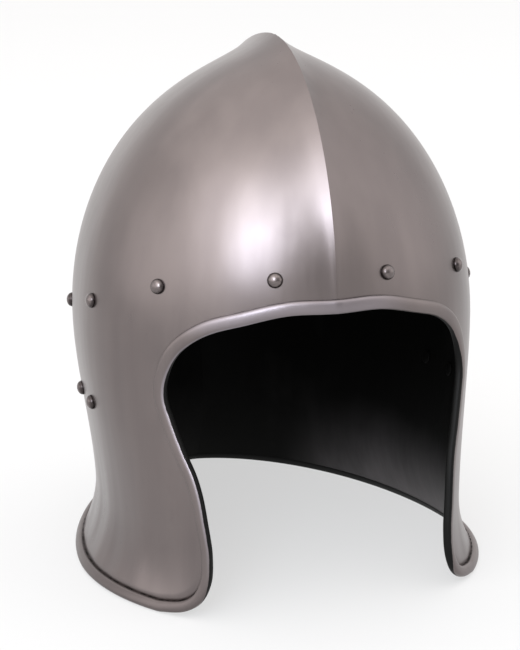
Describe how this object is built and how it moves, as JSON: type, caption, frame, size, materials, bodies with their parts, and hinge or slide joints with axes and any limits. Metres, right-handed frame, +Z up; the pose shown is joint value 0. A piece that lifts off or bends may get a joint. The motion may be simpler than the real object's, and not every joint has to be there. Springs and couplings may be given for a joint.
{
  "type": "open-faced helmet",
  "caption": "Open-faced steel helmet with a keeled bowl, long cheeks, a flared neck and a rolled edge; worn on the head or shown on its lower rim.",
  "frame": {"origin": "on the standing plane, under the middle of the helmet's box", "axes": "+Z up, -Y the way the wearer faces, +X towards the wearer's left"},
  "size_m": [0.2176, 0.2752, 0.28],
  "materials": {
    "plate": "polished outside, black paint inside",
    "rivet": "plain steel"
  },
  "bodies": {
    "root": {"skull": "plate", "lining_rivet_left_1": "rivet", "lining_rivet_left_2": "rivet", "lining_rivet_left_3": "rivet", "lining_rivet_left_4": "rivet", "lining_rivet_left_5": "rivet", "lining_rivet_left_6": "rivet", "lining_rivet_right_1": "rivet", "lining_rivet_right_2": "rivet", "lining_rivet_right_3": "rivet", "lining_rivet_right_4": "rivet", "lining_rivet_right_5": "rivet", "lining_rivet_right_6": "rivet", "strap_rivet_left_1": "rivet", "strap_rivet_left_2": "rivet", "strap_rivet_right_1": "rivet", "strap_rivet_right_2": "rivet"}
  },
  "joints": []
}
